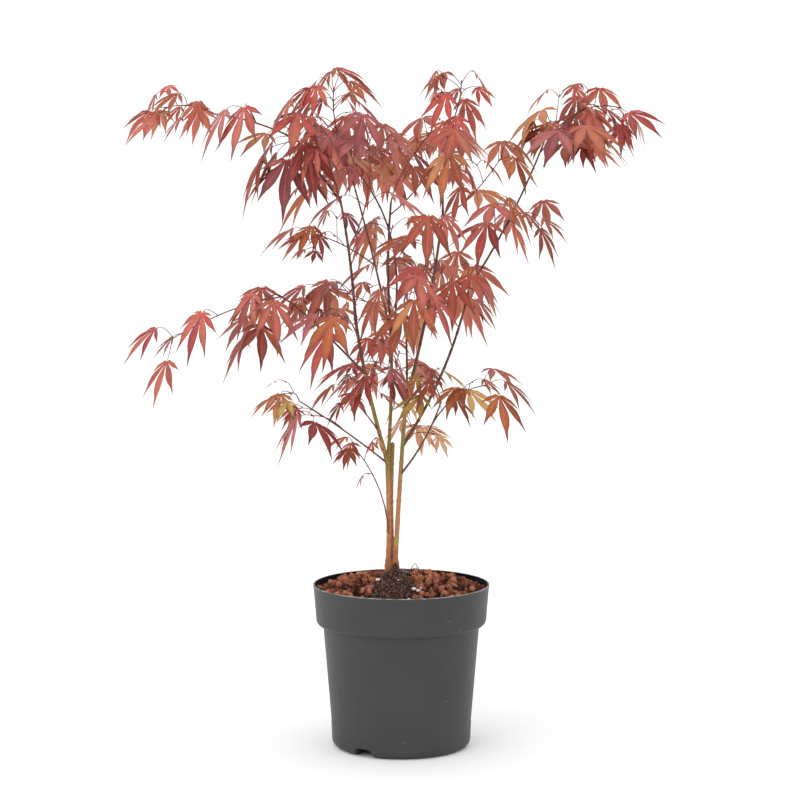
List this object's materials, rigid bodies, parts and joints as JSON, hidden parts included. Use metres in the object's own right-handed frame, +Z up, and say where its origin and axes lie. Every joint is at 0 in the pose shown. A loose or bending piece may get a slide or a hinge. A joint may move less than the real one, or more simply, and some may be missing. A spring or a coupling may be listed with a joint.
{
  "type": "potted japanese maple",
  "caption": "Young red-leaved Japanese maple with several slender stems and drooping hand-shaped leaves, in a dark grey nursery pot topped with bark granules.",
  "frame": {"origin": "centre of the pot's flat underside", "axes": "+Z up along the pot's axis to the top of the crown, -Y to the front"},
  "size_m": [0.5744, 0.42, 0.7306],
  "materials": {
    "pot_plastic": "dark grey moulded plastic, satin, lightly scuffed",
    "compost": "dark brown fibrous compost",
    "granules": "red-brown bark granules",
    "bark": "smooth thin bark, tan at the foot, green then dark purple-brown above",
    "leaf_coral": "thin matt leaf, coral",
    "leaf_purple": "thin matt leaf, purple",
    "leaf_crimson": "thin matt leaf, crimson",
    "leaf_brick": "thin matt leaf, brick",
    "leaf_orange": "thin matt leaf, orange",
    "leaf_olive": "thin matt leaf, olive",
    "leaf_peach": "thin matt leaf, peach"
  },
  "bodies": {
    "root": {"pot": "pot_plastic", "soil": "compost", "granules": "granules", "compost_mound": "compost", "trunk_foot": "bark", "stem_left": "bark", "stem_middle": "bark", "stem_right": "bark", "bough_left_low": "bark", "bough_left_high": "bark", "bough_top_left": "bark", "bough_top_left_far": "bark", "leader_low": "bark", "leader_high": "bark", "leader_back": "bark", "bough_inner_left": "bark", "bough_right_low": "bark", "bough_centre_top": "bark", "bough_far_right_low": "bark", "bough_far_right_high": "bark", "bough_low_right": "bark", "bough_mid_left": "bark", "bough_low_left": "bark", "bough_front_centre": "bark", "leaves_top_left_tip": "leaf_coral", "leaves_top_left_purple": "leaf_purple", "leaves_top_left": "leaf_crimson", "leaves_top_left_inner": "leaf_crimson", "leaves_peak_left": "leaf_coral", "leaves_top_front": "leaf_purple", "leaves_top_back": "leaf_brick", "leaves_peak_centre": "leaf_coral", "leaves_top_right_front": "leaf_crimson", "leaves_leader_top": "leaf_orange", "leaves_top_right_back": "leaf_brick", "leaves_right_branch": "leaf_orange", "leaves_far_right_tip": "leaf_coral", "leaves_top_right": "leaf_crimson", "leaves_top_right_low": "leaf_brick", "leaves_right_front": "leaf_crimson", "leaves_right": "leaf_brick", "leaves_front_right": "leaf_crimson", "leaves_back_centre": "leaf_brick", "leaves_back_right": "leaf_orange", "leaves_front_centre": "leaf_orange", "leaves_centre_right": "leaf_orange", "leaves_mid_left": "leaf_crimson", "leaves_mid_left_far": "leaf_coral", "leaves_inner_left": "leaf_brick", "leaves_back_left": "leaf_brick", "leaves_front_left": "leaf_crimson", "leaves_low_front": "leaf_crimson", "leaves_low_back": "leaf_brick", "leaves_low_inner": "leaf_brick", "leaves_low_left": "leaf_olive", "leaves_low_left_front": "leaf_purple", "leaves_wand": "leaf_brick", "leaves_low_right": "leaf_olive", "leaves_low_right_far": "leaf_orange", "leaves_low_peach": "leaf_peach"}
  },
  "joints": []
}
